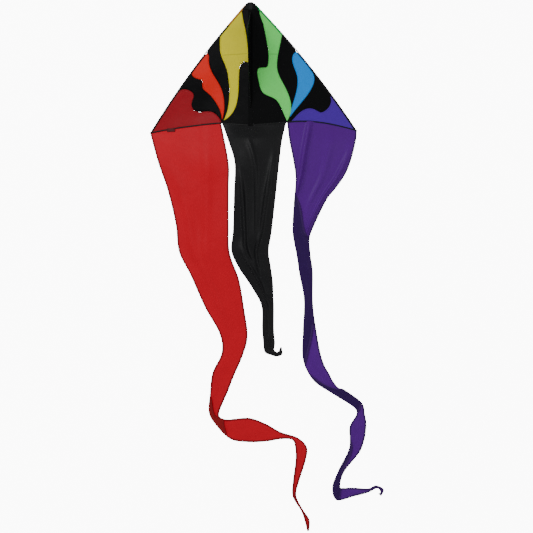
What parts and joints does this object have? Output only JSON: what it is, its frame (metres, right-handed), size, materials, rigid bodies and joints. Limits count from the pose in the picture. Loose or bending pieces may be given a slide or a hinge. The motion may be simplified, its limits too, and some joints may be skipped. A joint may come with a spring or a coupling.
{
  "type": "delta kite",
  "caption": "Delta kite with folding wings, a tow keel, an inset flame pattern and long ribbon tails, flown on a line.",
  "frame": {"origin": "centre of the tow eyelet's bore at the keel's apex", "axes": "+X along the span, +Z from the trailing edge to the nose, -Y towards the flyer"},
  "size_m": [2.2759, 0.5162, 5.05],
  "materials": {
    "black_cloth": "satin",
    "black_tape": "matte",
    "yellow_cloth": "satin",
    "orange_cloth": "satin",
    "dark_red_cloth": "satin",
    "green_cloth": "satin",
    "blue_cloth": "satin",
    "indigo_cloth": "satin",
    "red_tail_cloth": "satin",
    "black_tail_cloth": "satin",
    "purple_tail_cloth": "satin",
    "amber_tape": "satin",
    "green_tape": "satin",
    "navy_tape": "satin",
    "glass_fibre": "satin",
    "vinyl": "matte",
    "nickel": "gloss",
    "label_tape": "matte"
  },
  "bodies": {
    "spine": {"spine_rod": "glass_fibre", "spine_cap_top": "vinyl", "spine_cap_bottom": "vinyl", "spine_pocket": "black_tape", "centre_strip": "black_cloth", "nose_patch": "black_tape", "spreader_sleeve": "vinyl", "centre_tail_yoke": "black_tail_cloth"},
    "left_wing": {"left_sail": "black_cloth", "yellow_panel": "yellow_cloth", "orange_panel": "orange_cloth", "dark_red_panel": "dark_red_cloth", "left_trailing_hem": "black_tape", "left_nose_patch": "black_tape", "left_tip_patch": "black_cloth", "left_spar": "glass_fibre", "left_spar_caps": "vinyl", "left_pocket_amber": "amber_tape", "left_pocket_upper": "black_tape", "left_pocket_lower": "black_tape", "left_spreader_fitting": "vinyl", "left_stop_rings": "vinyl", "left_spreader_rod": "glass_fibre", "left_tail_header": "red_tail_cloth", "blank_label": "label_tape"},
    "right_wing": {"right_sail": "black_cloth", "green_panel": "green_cloth", "blue_panel": "blue_cloth", "indigo_panel": "indigo_cloth", "right_trailing_hem": "black_tape", "right_nose_patch": "black_tape", "right_tip_patch": "black_cloth", "right_spar": "glass_fibre", "right_spar_caps": "vinyl", "right_pocket_green": "green_tape", "right_pocket_upper": "black_tape", "right_pocket_navy": "navy_tape", "right_pocket_lower": "black_tape", "right_spreader_fitting": "vinyl", "right_stop_rings": "vinyl", "right_spreader_rod": "glass_fibre", "right_tail_header": "purple_tail_cloth"},
    "keel": {"keel_panel": "black_cloth", "keel_edge_tape": "black_tape", "tow_eyelet": "nickel", "tow_eyelet_washer": "nickel"},
    "red_tail_a": {"red_tail_1": "red_tail_cloth"},
    "red_tail_b": {"red_tail_2": "red_tail_cloth"},
    "red_tail_c": {"red_tail_3": "red_tail_cloth"},
    "red_tail_d": {"red_tail_4": "red_tail_cloth"},
    "black_tail_a": {"black_tail_1": "black_tail_cloth"},
    "black_tail_b": {"black_tail_2": "black_tail_cloth"},
    "black_tail_c": {"black_tail_3": "black_tail_cloth"},
    "purple_tail_a": {"purple_tail_1": "purple_tail_cloth"},
    "purple_tail_b": {"purple_tail_2": "purple_tail_cloth"},
    "purple_tail_c": {"purple_tail_3": "purple_tail_cloth"},
    "purple_tail_d": {"purple_tail_4": "purple_tail_cloth"}
  },
  "joints": [
    {"name": "left_wing_fold", "type": "hinge", "parent": "spine", "child": "left_wing", "pos_m": [-0.02, 0.29, 0], "axis": [0, 0, -1], "range_deg": [-12, 70], "deforming": ["spreader_sleeve"]},
    {"name": "right_wing_fold", "type": "hinge", "parent": "spine", "child": "right_wing", "pos_m": [0.02, 0.29, 0], "axis": [0, 0, 1], "range_deg": [-12, 70], "deforming": ["spreader_sleeve"]},
    {"name": "keel_swing", "type": "hinge", "parent": "spine", "child": "keel", "pos_m": [0, 0.289, -0.2], "axis": [0, 0, 1], "range_deg": [-80, 80]},
    {"name": "red_tail_swing", "type": "hinge", "parent": "left_wing", "child": "red_tail_a", "pos_m": [-0.65227, 0.4249, -0.8925], "axis": [-0.9736, 0.2069, -0.0965], "range_deg": [-45, 15]},
    {"name": "red_tail_bend_1", "type": "hinge", "parent": "red_tail_a", "child": "red_tail_b", "pos_m": [-0.46, 0.3995, -2.064], "axis": [-0.986, 0.1643, 0.029], "range_deg": [-35, 20]},
    {"name": "red_tail_bend_2", "type": "hinge", "parent": "red_tail_b", "child": "red_tail_c", "pos_m": [-0.185, 0.39, -3.0415], "axis": [-0.9944, 0.0474, 0.0947], "range_deg": [-35, 20]},
    {"name": "red_tail_bend_3", "type": "hinge", "parent": "red_tail_c", "child": "red_tail_d", "pos_m": [-0.3625, 0.3865, -3.6115], "axis": [-0.982, 0.0281, 0.187], "range_deg": [-40, 20]},
    {"name": "black_tail_swing", "type": "hinge", "parent": "spine", "child": "black_tail_a", "pos_m": [0.06, 0.316, -1.2115], "axis": [-1, 0, 0], "range_deg": [-30, 15]},
    {"name": "black_tail_bend_1", "type": "hinge", "parent": "black_tail_a", "child": "black_tail_b", "pos_m": [0.0175, 0.305, -1.8565], "axis": [-1, 0, 0], "range_deg": [-25, 15]},
    {"name": "black_tail_bend_2", "type": "hinge", "parent": "black_tail_b", "child": "black_tail_c", "pos_m": [0.125, 0.304, -2.4615], "axis": [-0.9536, 0, 0.3011], "range_deg": [-30, 15]},
    {"name": "purple_tail_swing", "type": "hinge", "parent": "right_wing", "child": "purple_tail_a", "pos_m": [0.67917, 0.43062, -0.8925], "axis": [-0.9728, -0.2068, 0.1041], "range_deg": [-45, 15]},
    {"name": "purple_tail_bend_1", "type": "hinge", "parent": "purple_tail_a", "child": "purple_tail_b", "pos_m": [0.4975, 0.3955, -1.814], "axis": [-0.9798, -0.1099, 0.1673], "range_deg": [-35, 20]},
    {"name": "purple_tail_bend_2", "type": "hinge", "parent": "purple_tail_b", "child": "purple_tail_c", "pos_m": [0.5625, 0.388, -2.814], "axis": [-0.9989, -0.0296, 0.037], "range_deg": [-35, 20]},
    {"name": "purple_tail_bend_3", "type": "hinge", "parent": "purple_tail_c", "child": "purple_tail_d", "pos_m": [1.015, 0.383, -3.5165], "axis": [-0.9136, -0.0203, -0.4061], "range_deg": [-40, 20]}
  ]
}
